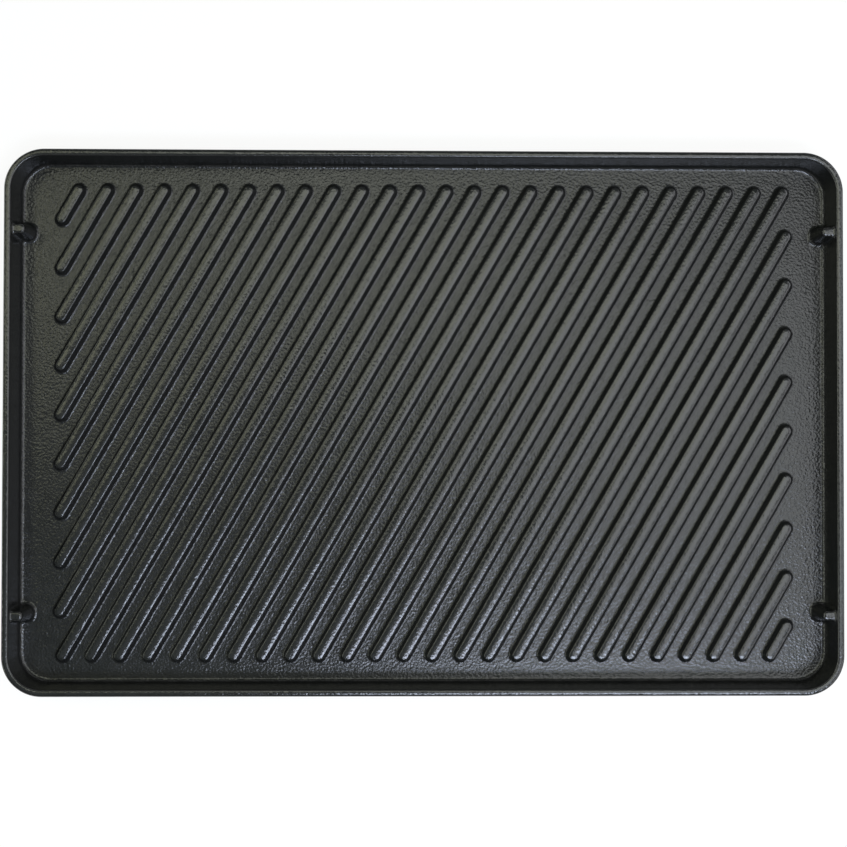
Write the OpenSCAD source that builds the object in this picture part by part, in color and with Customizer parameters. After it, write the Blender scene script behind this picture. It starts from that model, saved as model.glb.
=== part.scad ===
// Camp griddle plate: one shallow iron tray with a raised rim, diagonal
// cooking ribs and four small lugs inside its end walls.
// Millimetres, +Z up. The origin is the centre of the flat underside,
// +X runs along the plate's length and -Y is its front edge.
// The plate is a single casting. It is drawn as its cast features, each a
// closed solid that meets its neighbours face to face.

/* [Plate] */
// Overall length, from rim edge to rim edge
plate_l = 430; // [360:1:500]
// Overall width, from rim edge to rim edge
plate_w = 279; // [230:1:340]
// Overall height, from the underside to the top of the rim
plate_h = 19.5; // [17:0.5:28]
// Thickness of the cooking floor
floor_t = 3.5; // [3:0.5:7]
// Outer corner radius at the rim
corner_r = 20.5; // [18.5:0.5:32]

/* [Rim] */
// Width of the rim across its top
rim_w = 3.6; // [3:0.1:5]
// Lean of the inner wall, in degrees from upright
inner_draft = 3.5; // [2:0.5:8]
// Lean of the outer wall, in degrees from upright
outer_draft = 4; // [1:0.5:6]
// Rounding of the rim's two top edges
rim_edge_r = 1.1; // [0.5:0.1:1.2]
// Rounding of the outer bottom edge
base_edge_r = 2.5; // [1:0.5:3]
// Fillet between the inner wall and the floor
wall_fillet_r = 2.5; // [2:0.5:9]
// Least flat land at the foot of the fillet that belongs to the rim
rim_land = 0.5; // [0.5:0.1:1.5]

/* [Ribs] */
// Number of ribs on each side of the middle one
ribs_a_side = 17; // [10:1:24]
// Angle of the ribs from the plate's length, in degrees
rib_angle = 60; // [45:1:75]
// Height of a rib above the floor
rib_h = 3.8; // [2.5:0.1:4.5]
// Width of the flat crest of a rib
rib_crest_w = 3; // [2.4:0.1:3.4]
// Lean of a rib's flanks, in degrees from upright
rib_draft = 21; // [15:1:33]
// Rounding of a rib's crest edges
rib_crest_r = 1.2; // [0.5:0.1:1.2]
// Hollow fillet at the toe of a rib
rib_toe_r = 1.4; // [0.5:0.1:2.6]
// Angle at which a toe fillet runs out on the floor, in degrees
rib_toe_angle = 25; // [15:1:35]
// Clear floor between the ribs and the foot of each end wall
rib_margin_l = 16.7; // [9:0.1:40]
// Clear floor between the ribs and the foot of each long wall
rib_margin_w = 9.7; // [9:0.1:40]
// Straight run of the shortest rib, in each corner of the rib field
rib_min_run = 17.1; // [6:0.1:30]

/* [Lugs] */
// Distance from a long side of the plate to the centre of the nearest lugs
lug_inset = 40.5; // [38:0.5:80]
// Drop from the top of the rim to the top of a lug
lug_drop = 2.2; // [0.5:0.1:6]
// Reach of a lug's top from the inner edge of the rim
lug_reach = 6.4; // [5:0.1:7.5]
// Width of a lug across its top
lug_w = 4.8; // [3:0.1:7]
// Lean of a lug's sides, in degrees from upright
lug_draft = 8; // [2:0.5:10]

/* [Hidden] */
$fn = 96;
// Reach of an edge's or fillet's circle past its tangent points, so that no sliver stays there
fillet_bite = 0.001;

// Half-sizes of the plan, out to the sharp corner that the rim's rounding cuts
edge_cut = round(100 * (tangent_run(rim_edge_r, 90 - outer_draft) - rim_edge_r)) / 100;
half_l = plate_l / 2 + edge_cut;
half_w = plate_w / 2 + edge_cut;
sharp_r = corner_r + edge_cut;

// Insets, measured inwards from that sharp corner
wall_h = plate_h - floor_t;
base_inset = plate_h * tan(outer_draft);
foot_inset = rim_w + wall_h * tan(inner_draft);
fillet_run = tangent_run(wall_fillet_r, 90 + inner_draft);
fillet_inset = foot_inset + fillet_run;
// The rim and the floor part on a whole millimetre, past the fillet and its land
seam_inset = ceil(fillet_inset + rim_land);

// Rib section: half-widths from the rib's centre line
crest_run = tangent_run(rib_crest_r, 90 + rib_draft);
crest_half = rib_crest_w / 2;
crest_corner = crest_half + crest_run;
flank_foot = crest_corner + rib_h * tan(rib_draft);
toe_z = rib_toe_r * cos(rib_toe_angle);
toe_climb = (toe_z - rib_toe_r * sin(rib_draft)) / cos(rib_draft);
toe_x = flank_foot - toe_climb * sin(rib_draft) + rib_toe_r * cos(rib_draft);
rib_half = toe_x - rib_toe_r * sin(rib_toe_angle);

// Rib field: the rectangle that holds the centres of the round rib ends
field_x = half_l - foot_inset - rib_margin_l - rib_half;
field_y = half_w - foot_inset - rib_margin_w - rib_half;
// The ribs share the field evenly, from the short rib in one corner to the one opposite
rib_reach = field_x + field_y / tan(rib_angle) - rib_min_run * cos(rib_angle);
rib_step = rib_reach / ribs_a_side;
rib_count = 2 * ribs_a_side + 1;

// Lug sizes
lug_spacing = plate_w - 2 * lug_inset;
lug_h = wall_h - lug_drop;
lug_top_r = lug_w / 2;
lug_foot_r = lug_top_r + lug_h * tan(lug_draft);
lug_axis = half_l - rim_w - lug_reach + lug_top_r;

// Lugs as [name, end, side], with end -1 at the left and side -1 at the front
LUGS = [
    ["lug_front_left", -1, -1],
    ["lug_front_right", 1, -1],
    ["lug_back_left", -1, 1],
    ["lug_back_right", 1, 1]
];
RIB_NAMES = [for (i = [1 : rib_count]) str("rib_", i < 10 ? "0" : "", i)];

IRON = [0.27, 0.28, 0.275];
IRON_CREST = [0.33, 0.335, 0.33];

// Length from a sharp corner to where an arc of radius r touches its sides
function tangent_run(r, angle) = r / tan(angle / 2);

// Lowest and highest y of a rib's end centres, for the rib that crosses y = 0 at x
function rib_low(x) = max(-field_y, (-field_x - x) * tan(rib_angle));
function rib_high(x) = min(field_y, (field_x - x) * tan(rib_angle));

module rounded_rectangle(length, width, radius) {
    square([length - 2 * radius, width], center = true);
    square([length, width - 2 * radius], center = true);
    for (x = [-1, 1], y = [-1, 1])
        translate([x * (length / 2 - radius), y * (width / 2 - radius)])
            circle(radius);
}

// Section of the rim and its land, with its sharp outer corner at x = outer and z drawn as y
module rim_section(outer) {
    outer_run = tangent_run(rim_edge_r, 90 - outer_draft);
    inner_run = tangent_run(rim_edge_r, 90 + inner_draft);
    base_run = tangent_run(base_edge_r, 90 + outer_draft);
    translate([outer, 0])
        mirror([1, 0])
            difference() {
                union() {
                    polygon([
                        [outer_run * sin(outer_draft), plate_h - outer_run * cos(outer_draft)],
                        [outer_run, plate_h],
                        [rim_w - inner_run, plate_h],
                        [rim_w + inner_run * sin(inner_draft), plate_h - inner_run * cos(inner_draft)],
                        [foot_inset - fillet_run * sin(inner_draft), floor_t + fillet_run * cos(inner_draft)],
                        [fillet_inset, floor_t],
                        [seam_inset, floor_t],
                        [seam_inset, 0],
                        [base_inset + base_run, 0],
                        [base_inset - base_run * sin(outer_draft), base_run * cos(outer_draft)]
                    ]);
                    translate([outer_run, plate_h - rim_edge_r])
                        circle(rim_edge_r + fillet_bite);
                    translate([rim_w - inner_run, plate_h - rim_edge_r])
                        circle(rim_edge_r + fillet_bite);
                    translate([base_inset + base_run, base_edge_r])
                        circle(base_edge_r);
                }
                translate([fillet_inset, floor_t + wall_fillet_r])
                    circle(wall_fillet_r + fillet_bite);
            }
}

// One quarter of the rim: a corner and half of each wall beside it
module rim_quarter() {
    corner_x = half_l - sharp_r;
    corner_y = half_w - sharp_r;
    translate([corner_x, corner_y, 0])
        rotate_extrude(angle = 90)
            rim_section(sharp_r);
    translate([0, corner_y, 0])
        rotate([90, 0, 0])
            linear_extrude(height = corner_y)
                rim_section(half_l);
    rotate([90, 0, 90])
        linear_extrude(height = corner_x)
            rim_section(half_w);
}

module rim() {
    color(IRON)
        for (x = [0, 1], y = [0, 1])
            mirror([x, 0, 0])
                mirror([0, y, 0])
                    rim_quarter();
}

module floor_plate() {
    color(IRON)
        linear_extrude(height = floor_t)
            rounded_rectangle(
                2 * (half_l - seam_inset),
                2 * (half_w - seam_inset),
                sharp_r - seam_inset
            );
}

// Half of a rib's section, from its centre line outwards
module rib_half_section() {
    difference() {
        union() {
            polygon([
                [0, 0],
                [rib_half, 0],
                [flank_foot - toe_climb * sin(rib_draft), toe_climb * cos(rib_draft)],
                [crest_corner + crest_run * sin(rib_draft), rib_h - crest_run * cos(rib_draft)],
                [crest_half, rib_h],
                [0, rib_h]
            ]);
            translate([crest_half, rib_h - rib_crest_r])
                circle(rib_crest_r + fillet_bite);
        }
        translate([toe_x, toe_z])
            circle(rib_toe_r + fillet_bite);
    }
}

// A rib runs down from its upper end, with a half-round end at each
module rib(index) {
    x = (index - ribs_a_side) * rib_step;
    low = rib_low(x);
    high = rib_high(x);
    run = (high - low) / sin(rib_angle);
    color(IRON_CREST)
        translate([x + high / tan(rib_angle), high, floor_t])
            rotate([0, 0, rib_angle - 90]) {
                rotate_extrude(angle = 180)
                    rib_half_section();
                rotate([90, 0, 0])
                    linear_extrude(height = run) {
                        rib_half_section();
                        mirror([1, 0])
                            rib_half_section();
                    }
                translate([0, -run, 0])
                    rotate([0, 0, 180])
                        rotate_extrude(angle = 180)
                            rib_half_section();
            }
}

// A lug leans against the end wall, so the wall's own shape is cut from its back
module lug(end, side) {
    color(IRON)
        rotate([0, 0, end > 0 ? 0 : 180])
            translate([0, end * side * lug_spacing / 2, 0])
                difference() {
                    translate([lug_axis, 0, floor_t]) {
                        cylinder(h = lug_h, r1 = lug_foot_r, r2 = lug_top_r);
                        rotate([90, 0, 90])
                            linear_extrude(height = half_l - rim_w / 2 - lug_axis)
                                polygon([
                                    [-lug_foot_r, 0],
                                    [lug_foot_r, 0],
                                    [lug_top_r, lug_h],
                                    [-lug_top_r, lug_h]
                                ]);
                    }
                    rotate([90, 0, 0])
                        linear_extrude(height = 4 * lug_foot_r, center = true)
                            rim_section(half_l);
                }
}

floor_plate();
rim();
for (piece = LUGS)
    lug(piece[1], piece[2]);
for (i = [0 : rib_count - 1])
    rib(i);
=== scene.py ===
import math
from math import cos, radians, sin, tan

import bpy
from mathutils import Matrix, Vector, noise


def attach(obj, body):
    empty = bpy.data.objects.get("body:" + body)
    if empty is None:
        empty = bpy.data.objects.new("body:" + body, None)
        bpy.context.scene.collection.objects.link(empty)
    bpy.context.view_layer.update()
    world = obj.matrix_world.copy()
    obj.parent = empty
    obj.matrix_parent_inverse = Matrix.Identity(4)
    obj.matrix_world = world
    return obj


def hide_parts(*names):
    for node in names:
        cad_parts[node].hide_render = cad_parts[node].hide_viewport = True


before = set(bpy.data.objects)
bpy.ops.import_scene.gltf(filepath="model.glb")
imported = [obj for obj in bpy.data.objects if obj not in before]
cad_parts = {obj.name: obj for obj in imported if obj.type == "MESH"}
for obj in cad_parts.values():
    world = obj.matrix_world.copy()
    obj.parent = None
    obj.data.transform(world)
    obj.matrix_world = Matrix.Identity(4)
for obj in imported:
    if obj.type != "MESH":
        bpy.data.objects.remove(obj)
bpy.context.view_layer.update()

# Lengths are millimetres until make_mesh turns them into metres.
MM = 0.001

# Plate and rim, as in the part's source
PLATE_L = 430.0
PLATE_W = 279.0
PLATE_H = 19.5
FLOOR_T = 3.5
CORNER_R = 20.5
EDGE_CUT = 0.08
RIM_W = 3.6
INNER_DRAFT = radians(3.5)
OUTER_DRAFT = radians(4)
RIM_EDGE_R = 1.1
RIM_CROWN_R = 3.5
BASE_EDGE_R = 2.5
WALL_FILLET_R = 2.2
SEAM_INSET = 8.0
# The crown's top stays just below the CAD's flat one
RIM_TOP = PLATE_H - 0.05
# Drop from the rim's top to a row of points in the middle of the inner wall
WALL_MID = 6.0

# Ribs
RIBS_A_SIDE = 17
RIB_ANGLE = radians(60)
RIB_H = 3.8
RIB_CROWN_R = 9.3
RIB_CROWN_HALF = 1.97
RIB_EDGE_R = 0.78
RIB_DRAFT = radians(21)
RIB_TOE_R = 1.4
RIB_FIELD_X = 189.6
RIB_FIELD_Y = 121.1
RIB_MIN_RUN = 17.1
RIB_END_STEPS = 14
RIB_ALONG = Vector((cos(RIB_ANGLE), sin(RIB_ANGLE)))
RIB_ACROSS = Vector((sin(RIB_ANGLE), -cos(RIB_ANGLE)))

# Lugs
LUG_Y = 99.0
LUG_AXIS = 207.48
LUG_TOP_R = 2.4
LUG_DRAFT = radians(8)
LUG_DROP = 2.2
LUG_TOP_EDGE_R = 1.2
LUG_TOP_SWELL = 0.02
LUG_FOOT_FILLET_R = 1.5
LUG_NOSE_POWER = 2.5
LUG_SIDE_FILLET_R = 1.8
LUG_LEDGE_FILLET_R = 1.2
# How far a lug's back goes into the end wall, and spreads there
LUG_BACK_IN = 1.2
LUG_BACK_SPREAD = 0.15

# Unevenness that the sand mould leaves: two layers of waves, each with a length, a height and a seed
RIPPLES = ((26.0, 0.05, 3.1), (9.0, 0.028, 7.7))
# Height over which it fades out up the inner wall, and its share on top of the rim
RIPPLE_FADE_H = 7.0
RIPPLE_RIM_SHARE = 0.6
# A rib's wander to the side, and the share by which its width changes, each with a wave length
RIB_SWAY = 0.03
RIB_SWAY_LENGTH = 24.0
RIB_SWELL = 0.012
RIB_SWELL_LENGTH = 14.0

# How far a piece that stands on another one is sunk into it, and a rib spreads there, so that no edge shows
SINK = 0.25
SINK_SPREAD = 0.5

# Iron: heights in metres between which the floor's skin turns into that of the worn crests
WEAR_LOW = 0.0050
WEAR_HIGH = 0.0070
DARK_IRON = (0.0068, 0.0071, 0.0071, 1)
PALE_IRON = (0.0118, 0.0121, 0.0120, 1)
# Turn of the noise in radians, so that its lattice lies across the faces
TEXTURE_TURN = (0.6, 0.4, 0.5)
# Depths in metres of the grain and of the sand's finer pits
GRAIN_DEPTH = 0.00026
PIT_DEPTH = 0.00003

# Stage
STAGE_R = 18000.0
STAGE_SIDES = 64
BACKDROP_H = 6600.0
STAGE_COLOUR = (0.9, 0.9, 0.9, 1)
# Share of plain white in what the eye and reflections see of the stage; the rest keeps the shadow
STAGE_WHITE = 0.85

# Light, in metres: overhead panels with their place, size, brightness and colour
PANEL_Z = 1.22
PANELS = (
    ("back", (-0.1, 0.32, PANEL_Z), (0.8, 0.4), 2.35, (0.97, 1.0, 0.86)),
    ("middle", (0.47, 0.0, PANEL_Z), (0.72, 0.8), 2.45, (0.955, 0.985, 1.0)),
    ("front", (0.3, -0.68, PANEL_Z), (0.8, 0.3), 15.0, (0.74, 0.82, 1.0)),
    ("left", (-0.8, 0.36, PANEL_Z), (0.3, 0.7), 2.2, (0.98, 1.0, 0.72)),
    ("right", (1.55, 0.0, PANEL_Z), (1.0, 2.4), 2.1, (0.92, 0.92, 0.98)),
    ("corner", (-0.35, -0.38, PANEL_Z), (0.9, 0.44), 0.25, (0.86, 0.95, 1.0)),
)
FACING_DOWN = (0, 0, 0)
# A bright wall at the left that faces the plate
WALL_PLACE = (-1.9, 0.0, 0.85)
WALL_SIZE = (2.2, 0.55)
WALL_BRIGHTNESS = 2.8
WALL_COLOUR = (0.95, 1.0, 0.85)
ROOM_COLOUR = (0.86, 1.0, 0.92, 1)
ROOM_BRIGHTNESS = 0.15

# Camera, in metres and radians
CAMERA_PLACE = (-0.009, -0.008, 0.5815)
CAMERA_TURN = (0.013374, -0.014306, 0.001683)
CAMERA_LENS = 46.83
CAMERA_SENSOR = 36.0

HALF_L = PLATE_L / 2 + EDGE_CUT
HALF_W = PLATE_W / 2 + EDGE_CUT
SHARP_R = CORNER_R + EDGE_CUT


def tangent_run(radius, angle):
    """Length from a sharp corner to where an arc of that radius touches its sides."""
    return radius / tan(angle / 2)


FOOT_INSET = RIM_W + (PLATE_H - FLOOR_T) * tan(INNER_DRAFT)
FILLET_INSET = FOOT_INSET + tangent_run(WALL_FILLET_R, math.pi / 2 + INNER_DRAFT)


def arc(centre, radius, start, end, steps):
    """Points on an arc, with its angles in degrees and both of its ends included."""
    angles = [radians(start + (end - start) * i / steps) for i in range(steps + 1)]
    return [(centre[0] + radius * cos(a), centre[1] + radius * sin(a)) for a in angles]


def ripple(x, y):
    """Height of the sand mould's unevenness at a place on the cooking side."""
    return sum(
        height * noise.noise(Vector((x / length, y / length, seed)))
        for length, height, seed in RIPPLES
    )


def make_mesh(name, verts, faces, smooth_angle=35):
    """A new object from millimetre points, shaded smooth up to that angle in degrees."""
    mesh = bpy.data.meshes.new(name)
    mesh.from_pydata([(x * MM, y * MM, z * MM) for x, y, z in verts], [], faces)
    mesh.validate()
    mesh.shade_smooth()
    mesh.set_sharp_from_angle(angle=radians(smooth_angle))
    piece = bpy.data.objects.new(name, mesh)
    bpy.context.collection.objects.link(piece)
    return piece


def bridge(ring_a, ring_b, closed=True):
    """Quads between two rings of vertex numbers of the same length."""
    count = len(ring_a)
    last = count if closed else count - 1
    return [
        (ring_a[i], ring_a[(i + 1) % count], ring_b[(i + 1) % count], ring_b[i])
        for i in range(last)
    ]


# Rim

def rim_section():
    """The rim's closed section as (inset, height) points: top, outer wall, underside, inner wall."""
    outer_x = tangent_run(RIM_EDGE_R, math.pi / 2 - OUTER_DRAFT)
    inner_x = RIM_W - tangent_run(RIM_EDGE_R, math.pi / 2 + INNER_DRAFT)
    middle_x = (outer_x + inner_x) / 2
    spread = RIM_CROWN_R - RIM_EDGE_R
    crown_lean = math.asin((inner_x - middle_x) / spread)
    edge_z = RIM_TOP - RIM_CROWN_R + spread * cos(crown_lean)
    lean = math.degrees(crown_lean)
    lean_out = 180 + math.degrees(OUTER_DRAFT)
    lean_in = math.degrees(INNER_DRAFT)
    base_x = PLATE_H * tan(OUTER_DRAFT) + tangent_run(BASE_EDGE_R, math.pi / 2 + OUTER_DRAFT)

    points = arc((middle_x, RIM_TOP - RIM_CROWN_R), RIM_CROWN_R, 90 - lean, 90 + lean, 6)[1:-1]
    points += arc((outer_x, edge_z), RIM_EDGE_R, 90 + lean, lean_out, 9)
    points += arc((base_x, BASE_EDGE_R), BASE_EDGE_R, lean_out, 270, 8)
    points += [(SEAM_INSET, 0.0), (SEAM_INSET, FLOOR_T)]
    points += arc((FILLET_INSET, FLOOR_T + WALL_FILLET_R), WALL_FILLET_R, 270, 180 + lean_in, 18)
    points += [(RIM_W + WALL_MID * tan(INNER_DRAFT), PLATE_H - WALL_MID)]
    points += arc((inner_x, edge_z), RIM_EDGE_R, lean_in, 90 - lean, 9)
    return points


def outline_stations():
    """Points round the plate's sharp outline, each with its inward direction."""
    stations = []
    cx, cy = HALF_L - SHARP_R, HALF_W - SHARP_R
    corners = [(cx, cy), (-cx, cy), (-cx, -cy), (cx, -cy)]
    walls = [(-1, 0, 2 * cx), (0, -1, 2 * cy), (1, 0, 2 * cx), (0, 1, 2 * cy)]
    corner_steps = 30
    wall_step = 5
    for quarter, (corner_x, corner_y) in enumerate(corners):
        for i in range(corner_steps + 1):
            angle = radians(90 * (quarter + i / corner_steps))
            dx, dy = cos(angle), sin(angle)
            stations.append((corner_x + SHARP_R * dx, corner_y + SHARP_R * dy, -dx, -dy))
        end_x, end_y, nx, ny = stations[-1]
        step_x, step_y, along = walls[quarter]
        steps = round(along / wall_step)
        for i in range(1, steps):
            run = along * i / steps
            stations.append((end_x + step_x * run, end_y + step_y * run, nx, ny))
    return stations


def rim_point(station, inset, height):
    """A point of the rim, with the mould's unevenness fading out up the inner wall."""
    x, y, nx, ny = station
    px, py = x + nx * inset, y + ny * inset
    if inset > RIM_W and height >= FLOOR_T:
        fade = max(0.0, 1 - (height - FLOOR_T) / RIPPLE_FADE_H)
        return px, py, height + fade * ripple(px, py)
    if height > RIM_TOP - RIM_EDGE_R:
        return px, py, height - RIPPLE_RIM_SHARE * abs(ripple(px, py))
    return px, py, height


def build_rim():
    """The wall all round the plate: the rim's section, carried round the outline."""
    section = rim_section()
    stations = outline_stations()
    verts = [rim_point(s, inset, height) for s in stations for inset, height in section]
    size = len(section)
    rings = [[i * size + j for j in range(size)] for i in range(len(stations))]
    faces = []
    for i, ring in enumerate(rings):
        faces += bridge(rings[(i + 1) % len(rings)], ring)
    return make_mesh("cast_rim", verts, faces)


# Cooking floor

def floor_corner(x, y):
    """A floor point, drawn back to the arc where it lies outside a rounded corner."""
    radius = SHARP_R - SEAM_INSET
    cx, cy = HALF_L - SHARP_R, HALF_W - SHARP_R
    dx, dy = abs(x) - cx, abs(y) - cy
    reach = math.hypot(dx, dy)
    if dx <= 0 or dy <= 0 or reach <= radius:
        return x, y
    return math.copysign(cx + dx * radius / reach, x), math.copysign(cy + dy * radius / reach, y)


def build_floor():
    """The cooking floor: an uneven grid on top, and a flat underside."""
    half_x, half_y = HALF_L - SEAM_INSET, HALF_W - SEAM_INSET
    columns, rows = 128, 80
    plan = [
        floor_corner(half_x * (2 * i / columns - 1), half_y * (2 * j / rows - 1))
        for j in range(rows + 1) for i in range(columns + 1)
    ]
    verts = [(x, y, FLOOR_T + ripple(x, y)) for x, y in plan]
    width = columns + 1
    faces = [
        (a, a + 1, a + 1 + width, a + width)
        for j in range(rows) for a in range(j * width, j * width + columns)
    ]
    border = list(range(columns))
    border += [columns + j * width for j in range(rows)]
    border += [rows * width + columns - i for i in range(columns)]
    border += [(rows - j) * width for j in range(rows)]
    first = len(verts)
    verts += [(plan[i][0], plan[i][1], 0.0) for i in border]
    lower = list(range(first, len(verts)))
    faces += bridge(lower, border)
    faces.append(tuple(reversed(lower)))
    return make_mesh("cast_floor", verts, faces)


# Ribs

def rib_section():
    """Half of a rib's section as (half-width, height) points, from the crest to below the floor."""
    lean = math.degrees(RIB_DRAFT)
    turn = 90 - math.degrees(math.asin(RIB_CROWN_HALF / RIB_CROWN_R))
    crown = arc((0.0, RIB_H - RIB_CROWN_R), RIB_CROWN_R, 90, turn, 4)[1:]
    crown_x, crown_z = crown[-1]
    edge_centre = (crown_x - RIB_EDGE_R * cos(radians(turn)), crown_z - RIB_EDGE_R * sin(radians(turn)))
    edge = arc(edge_centre, RIB_EDGE_R, turn, lean, 8)[1:]
    edge_x, edge_z = edge[-1]
    flank_foot = edge_x + edge_z * tan(RIB_DRAFT)
    toe_x = flank_foot + tangent_run(RIB_TOE_R, math.pi / 2 + RIB_DRAFT)
    toe = arc((toe_x, RIB_TOE_R), RIB_TOE_R, 180 + lean, 270, 10)
    return crown + edge + toe + [(toe_x + SINK_SPREAD, -SINK)]


def rib_end(x, sign):
    """Place across the plate of a rib's end centre, for the rib that crosses y = 0 at x."""
    end_wall = (sign * RIB_FIELD_X - x) * tan(RIB_ANGLE)
    return min(RIB_FIELD_Y, end_wall) if sign > 0 else max(-RIB_FIELD_Y, end_wall)


def rib_spine(index):
    """Points along a rib's middle on the plan, from its front end to its back end."""
    reach = RIB_FIELD_X + RIB_FIELD_Y / tan(RIB_ANGLE) - RIB_MIN_RUN * cos(RIB_ANGLE)
    x = (index - RIBS_A_SIDE) * reach / RIBS_A_SIDE
    low, high = rib_end(x, -1), rib_end(x, 1)
    run = (high - low) / sin(RIB_ANGLE)
    start = Vector((x + low / tan(RIB_ANGLE), low))
    steps = max(4, round(run / 3))
    spine = []
    for i in range(steps + 1):
        place = run * i / steps
        sway = RIB_SWAY * noise.noise(Vector((place / RIB_SWAY_LENGTH, index * 5.3, 0.4)))
        spine.append(start + RIB_ALONG * place + RIB_ACROSS * sway)
    return spine


def rib_path(spine):
    """Stations round a rib as (point, outward direction): up its right side and down its left one."""
    turns = [math.pi * i / RIB_END_STEPS for i in range(1, RIB_END_STEPS)]
    path = [(p, RIB_ACROSS) for p in spine]
    path += [(spine[-1], RIB_ACROSS * cos(t) + RIB_ALONG * sin(t)) for t in turns]
    path += [(p, -RIB_ACROSS) for p in reversed(spine)]
    path += [(spine[0], -RIB_ACROSS * cos(t) - RIB_ALONG * sin(t)) for t in turns]
    return path


def rib_cap(ring, first, steps, upward):
    """Faces that close a rib's ring of points along its middle, whose points start at first."""
    count = len(ring)
    back = steps + RIB_END_STEPS
    faces = []
    for i in range(steps):
        faces.append((first + i, ring[i], ring[i + 1], first + i + 1))
    for i in range(RIB_END_STEPS):
        faces.append((first + steps, ring[steps + i], ring[steps + i + 1]))
    for i in range(steps):
        faces.append((first + steps - i, ring[back + i], ring[back + i + 1], first + steps - i - 1))
    for i in range(RIB_END_STEPS):
        faces.append((first, ring[back + steps + i], ring[(back + steps + i + 1) % count]))
    return faces if upward else [tuple(reversed(f)) for f in faces]


def build_rib(index, section):
    """One rib: a bar with half-round ends that runs out into the floor on a hollow fillet."""
    spine = rib_spine(index)
    path = rib_path(spine)
    verts = []
    for point, out in path:
        wave = Vector((point.x / RIB_SWELL_LENGTH, point.y / RIB_SWELL_LENGTH, index + 0.5))
        swell = 1 + RIB_SWELL * noise.noise(wave)
        for half, height in section:
            px, py = point.x + out.x * half * swell, point.y + out.y * half * swell
            verts.append((px, py, FLOOR_T + height + ripple(px, py)))
    size = len(section)
    rings = [[i * size + j for i in range(len(path))] for j in range(size)]
    faces = []
    for upper, lower in zip(rings, rings[1:]):
        faces += bridge(lower, upper)
    for ring, height, upward in ((rings[0], RIB_H, True), (rings[-1], -SINK, False)):
        first = len(verts)
        verts += [(p.x, p.y, FLOOR_T + height + ripple(p.x, p.y)) for p in spine]
        faces += rib_cap(ring, first, len(spine) - 1, upward)
    return make_mesh(f"cast_rib_{index + 1:02d}", verts, faces, 50)


# Lugs

def wall_x(height):
    """Distance of the end wall's inner face from the plate's middle, at a height above the floor."""
    if height < WALL_FILLET_R * (1 - sin(INNER_DRAFT)):
        inset = FILLET_INSET - math.sqrt(WALL_FILLET_R ** 2 - (WALL_FILLET_R - height) ** 2)
    else:
        inset = RIM_W + (PLATE_H - FLOOR_T - height) * tan(INNER_DRAFT)
    return HALF_L - inset


def lug_radius(height, top):
    """A lug's nose radius at a height above the floor, with its foot fillet and rounded top edge."""
    radius = LUG_TOP_R + (top - height) * tan(LUG_DRAFT)
    if height < LUG_FOOT_FILLET_R:
        drop = LUG_FOOT_FILLET_R - height
        radius += LUG_FOOT_FILLET_R - math.sqrt(max(0.0, LUG_FOOT_FILLET_R ** 2 - drop ** 2))
    rise = height - (top - LUG_TOP_EDGE_R)
    if rise > 0:
        radius -= LUG_TOP_EDGE_R - math.sqrt(max(0.0, LUG_TOP_EDGE_R ** 2 - rise ** 2))
    return radius


def square_off(x, y, radius):
    """A point of a lug's round nose, moved out to a slightly squarer nose of the same reach."""
    if x >= LUG_AXIS:
        return x, y
    dx, dy = abs(x - LUG_AXIS) / radius, abs(y) / radius
    grow = (dx ** LUG_NOSE_POWER + dy ** LUG_NOSE_POWER) ** (-1 / LUG_NOSE_POWER)
    return LUG_AXIS + (x - LUG_AXIS) * grow, y * grow


def lug_outline(height, top):
    """A lug's plan outline at a height: side fillet, side, nose, side and side fillet again."""
    radius = lug_radius(height, top)
    face = wall_x(height)
    fillet = LUG_SIDE_FILLET_R
    cx = face - fillet
    has_side = cx >= LUG_AXIS
    if has_side:
        cy = radius + fillet
        touch = 90.0
    else:
        cy = math.sqrt((radius + fillet) ** 2 - (cx - LUG_AXIS) ** 2)
        touch = math.degrees(math.atan2(cy, cx - LUG_AXIS))
    bend = arc((cx, cy), fillet, 0, touch - 180, 7)
    if has_side:
        side = [(cx + (LUG_AXIS - cx) * t, radius) for t in (0.33, 0.67)]
    else:
        side = [bend[-1], bend[-1]]
    nose = [square_off(x, y, radius) for x, y in arc((LUG_AXIS, 0.0), radius, touch, 180, 9)[:-1]]
    upper = [(face + LUG_BACK_IN, cy + LUG_BACK_SPREAD)] + bend + side + nose
    return upper + [(LUG_AXIS - radius, 0.0)] + [(x, -y) for x, y in reversed(upper)]


def lug_levels(top):
    """Heights above the floor of a lug's layers, closest in its foot fillet and its top edge."""
    foot = [LUG_FOOT_FILLET_R * (1 - cos(radians(a))) for a in (0, 9, 18, 28, 38, 48, 58, 68, 79)]
    shaft_h = top - LUG_TOP_EDGE_R - LUG_FOOT_FILLET_R
    shaft = [LUG_FOOT_FILLET_R + shaft_h * i / 8 for i in range(9)]
    crown = [top - LUG_TOP_EDGE_R * (1 - sin(radians(a))) for a in (15, 30, 45, 60, 75, 88)]
    return foot + shaft + crown


def lug_cap(verts, ring, face):
    """Faces over a lug's top, which climbs into the wall's face on a fillet. Adds to verts."""
    fillet = LUG_LEDGE_FILLET_R
    half = len(ring) // 2
    rows = []
    for k in range(1, half + 1):
        left, right = ring[half - k], ring[half + k]
        x, y, z = verts[left]
        gap = min(max(0.0, x - (face - fillet)), fillet)
        z += fillet - math.sqrt(fillet ** 2 - gap ** 2)
        row = [left]
        for t in (-0.6, -0.2, 0.2, 0.6):
            row.append(len(verts))
            verts.append((x, -y * t, z + LUG_TOP_SWELL))
        row.append(right)
        verts[left] = (x, y, z)
        verts[right] = (x, -y, z)
        rows.append(row)
    tip = ring[half]
    faces = [(tip, b, a) for a, b in zip(rows[0], rows[0][1:])]
    for near, far in zip(rows, rows[1:]):
        faces += bridge(near, far, closed=False)
    return faces


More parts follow.
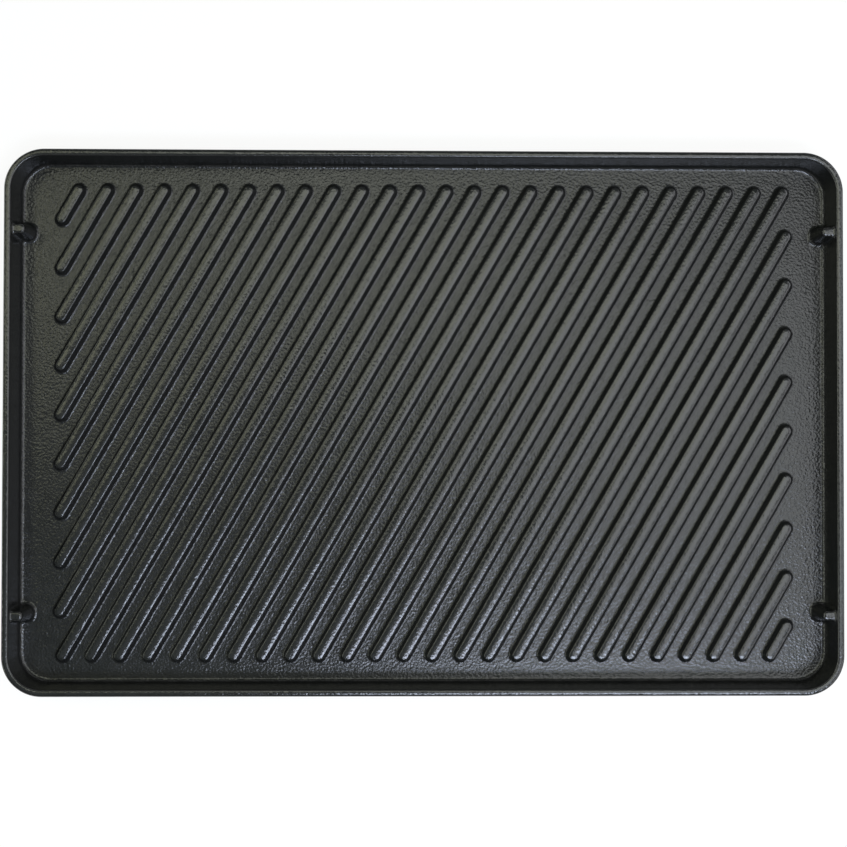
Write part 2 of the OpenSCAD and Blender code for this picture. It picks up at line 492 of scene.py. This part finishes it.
def build_lug(name, end, side):
    """A tapered lug with a rounded nose, filleted into the end wall and the floor."""
    top = PLATE_H - FLOOR_T - LUG_DROP
    levels = lug_levels(top)
    outlines = [lug_outline(h, top) for h in levels]
    layers = [(outlines[0], -SINK)] + list(zip(outlines, levels))
    verts = [(x, y, FLOOR_T + height) for outline, height in layers for x, y in outline]
    size = len(outlines[0])
    rings = [[i * size + j for j in range(size)] for i in range(len(layers))]
    faces = []
    for lower, upper in zip(rings, rings[1:]):
        faces += bridge(lower, upper)
    faces += lug_cap(verts, rings[-1], wall_x(top))
    faces.append(tuple(reversed(rings[0])))
    turned = [(end * x, end * y + side * LUG_Y, z) for x, y, z in verts]
    return make_mesh(name, turned, faces, 50)


# Material

def new_node(tree, kind, place, **inputs):
    """A shader node with its input sockets set by name; spaces are written as underscores."""
    node = tree.nodes.new(kind)
    node.location = place
    for key, value in inputs.items():
        node.inputs[key.replace("_", " ")].default_value = value
    return node


def math_node(tree, operation, place, first):
    """A math node with its first input linked."""
    node = new_node(tree, "ShaderNodeMath", place)
    node.operation = operation
    tree.links.new(first, node.inputs[0])
    return node


def new_material(name):
    """A material with an empty node tree, and that tree."""
    material = bpy.data.materials.new(name)
    material.use_nodes = True
    material.node_tree.nodes.clear()
    return material, material.node_tree


def iron_material():
    """Seasoned cast iron: near-black, satin, with the fine sandy skin of the mould."""
    material, tree = new_material("seasoned_cast_iron")
    link = tree.links.new
    output = new_node(tree, "ShaderNodeOutputMaterial", (1200, 0))
    shader = new_node(tree, "ShaderNodeBsdfPrincipled", (900, 0))
    link(shader.outputs["BSDF"], output.inputs["Surface"])
    place = new_node(tree, "ShaderNodeTexCoord", (-1400, 0)).outputs["Object"]
    axes = new_node(tree, "ShaderNodeSeparateXYZ", (-900, -700))
    link(place, axes.inputs["Vector"])
    turned = new_node(tree, "ShaderNodeMapping", (-1200, 0), Rotation=TEXTURE_TURN)
    link(place, turned.inputs["Vector"])

    def texture(where, scale, detail, roughness):
        node = new_node(tree, "ShaderNodeTexNoise", where, Scale=scale, Detail=detail, Roughness=roughness)
        link(turned.outputs["Vector"], node.inputs["Vector"])
        return node.outputs["Fac"]

    def ramp(where, source, low, high, to_low, to_high):
        node = new_node(tree, "ShaderNodeMapRange", where, From_Min=low, From_Max=high,
                        To_Min=to_low, To_Max=to_high)
        link(source, node.inputs["Value"])
        return node.outputs["Result"]

    def by_wear(where, on_floor, on_crests):
        return ramp(where, axes.outputs["Z"], WEAR_LOW, WEAR_HIGH, on_floor, on_crests)

    patches = texture((-900, 500), 14.0, 3.0, 0.55)
    mottle = texture((-900, 200), 170.0, 4.0, 0.6)
    grain = texture((-900, -100), 850.0, 1.0, 0.4)
    sand = texture((-900, -400), 2600.0, 1.0, 0.5)

    blend = new_node(tree, "ShaderNodeMix", (-550, 400))
    blend.data_type = "FLOAT"
    blend.inputs["Factor"].default_value = 0.5
    link(patches, blend.inputs["A"])
    link(mottle, blend.inputs["B"])
    tone = new_node(tree, "ShaderNodeValToRGB", (-300, 400))
    dark, pale = tone.color_ramp.elements
    dark.position, dark.color = 0.3, DARK_IRON
    pale.position, pale.color = 0.72, PALE_IRON
    link(blend.outputs["Result"], tone.inputs["Fac"])
    link(tone.outputs["Color"], shader.inputs["Base Color"])

    gloss = math_node(tree, "MULTIPLY", (0, 100), ramp((-300, 100), mottle, 0.3, 0.7, 0.21, 0.31))
    link(by_wear((-300, -150), 0.85, 0.6), gloss.inputs[1])
    link(gloss.outputs[0], shader.inputs["Roughness"])
    link(by_wear((-300, -300), 0.44, 0.54), shader.inputs["Specular IOR Level"])

    skin = new_node(tree, "ShaderNodeBump", (300, -200), Distance=GRAIN_DEPTH)
    link(grain, skin.inputs["Height"])
    link(by_wear((0, -500), 1.0, 0.5), skin.inputs["Strength"])
    pits = new_node(tree, "ShaderNodeBump", (600, -300), Strength=1.0, Distance=PIT_DEPTH)
    link(sand, pits.inputs["Height"])
    link(skin.outputs["Normal"], pits.inputs["Normal"])
    link(pits.outputs["Normal"], shader.inputs["Normal"])
    return material


# Stage, light and camera

def stage_material():
    """Matte near-white that the eye and reflections see as almost plain white."""
    material, tree = new_material("stage_white")
    link = tree.links.new
    output = new_node(tree, "ShaderNodeOutputMaterial", (600, 0))
    matte = new_node(tree, "ShaderNodeBsdfDiffuse", (0, 100), Color=STAGE_COLOUR)
    white = new_node(tree, "ShaderNodeEmission", (0, -100), Strength=1.0)
    path = new_node(tree, "ShaderNodeLightPath", (-900, 300))
    seen = path.outputs["Is Camera Ray"]
    for ray in ("Is Glossy Ray", "Is Transmission Ray"):
        either = math_node(tree, "MAXIMUM", (-600, 300), seen)
        link(path.outputs[ray], either.inputs[1])
        seen = either.outputs[0]
    share = math_node(tree, "MULTIPLY", (-300, 300), seen)
    share.inputs[1].default_value = STAGE_WHITE
    mix = new_node(tree, "ShaderNodeMixShader", (300, 0))
    link(share.outputs[0], mix.inputs["Fac"])
    link(matte.outputs["BSDF"], mix.inputs[1])
    link(white.outputs["Emission"], mix.inputs[2])
    link(mix.outputs["Shader"], output.inputs["Surface"])
    return material


def build_stage():
    """A wide white floor that keeps the plate's shadow, and a far round backdrop."""
    turns = [2 * math.pi * i / STAGE_SIDES for i in range(STAGE_SIDES)]
    edge = [(STAGE_R * cos(t), STAGE_R * sin(t)) for t in turns]
    verts = [(x, y, z) for z in (0.0, BACKDROP_H) for x, y in edge]
    foot = list(range(STAGE_SIDES))
    top = list(range(STAGE_SIDES, 2 * STAGE_SIDES))
    floor = make_mesh("stage_floor", verts, [tuple(foot)] + bridge(top, foot))
    floor.data.materials.append(stage_material())


def area_light(name, place, turn, size, radiance, colour):
    """A rectangular soft light of an even brightness; places and sizes are metres."""
    data = bpy.data.lights.new(name, "AREA")
    data.shape = "RECTANGLE"
    data.size, data.size_y = size
    data.energy = 4 * size[0] * size[1] * radiance
    data.color = colour
    lamp = bpy.data.objects.new(name, data)
    lamp.location = place
    lamp.rotation_euler = turn
    bpy.context.collection.objects.link(lamp)


def towards_plate(place):
    """The turn of a light at a place that faces the plate."""
    return (-Vector(place)).to_track_quat("-Z", "Y").to_euler()


def build_light():
    """Panels overhead and a bright wall at the left, in a dim room."""
    world = bpy.data.worlds.new("studio")
    world.use_nodes = True
    background = world.node_tree.nodes["Background"]
    background.inputs["Color"].default_value = ROOM_COLOUR
    background.inputs["Strength"].default_value = ROOM_BRIGHTNESS
    bpy.context.scene.world = world
    for name, place, size, radiance, colour in PANELS:
        area_light(name, place, FACING_DOWN, size, radiance, colour)
    area_light("wall", WALL_PLACE, towards_plate(WALL_PLACE), WALL_SIZE, WALL_BRIGHTNESS, WALL_COLOUR)


def build_camera():
    """Almost straight above the plate, from the place that the photograph was taken."""
    data = bpy.data.cameras.new("camera")
    data.sensor_width = CAMERA_SENSOR
    data.lens = CAMERA_LENS
    camera = bpy.data.objects.new("camera", data)
    camera.location = CAMERA_PLACE
    camera.rotation_euler = CAMERA_TURN
    bpy.context.collection.objects.link(camera)
    bpy.context.scene.camera = camera


def dress(piece, node, material):
    """The piece takes a CAD node's place on the plate."""
    piece.data.materials.append(material)
    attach(piece, "root")
    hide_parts(node)


def build_plate():
    """Every piece of the plate, in its CAD node's place."""
    material = iron_material()
    dress(build_rim(), "rim", material)
    dress(build_floor(), "floor_plate", material)
    section = rib_section()
    for index in range(2 * RIBS_A_SIDE + 1):
        dress(build_rib(index, section), f"rib_{index + 1:02d}", material)
    for end, end_name in ((-1, "left"), (1, "right")):
        for side, side_name in ((-1, "front"), (1, "back")):
            node = f"lug_{side_name}_{end_name}"
            dress(build_lug(f"cast_{node}", end, side), node, material)


bpy.context.scene.view_settings.view_transform = "Standard"
build_plate()
build_stage()
build_light()
build_camera()
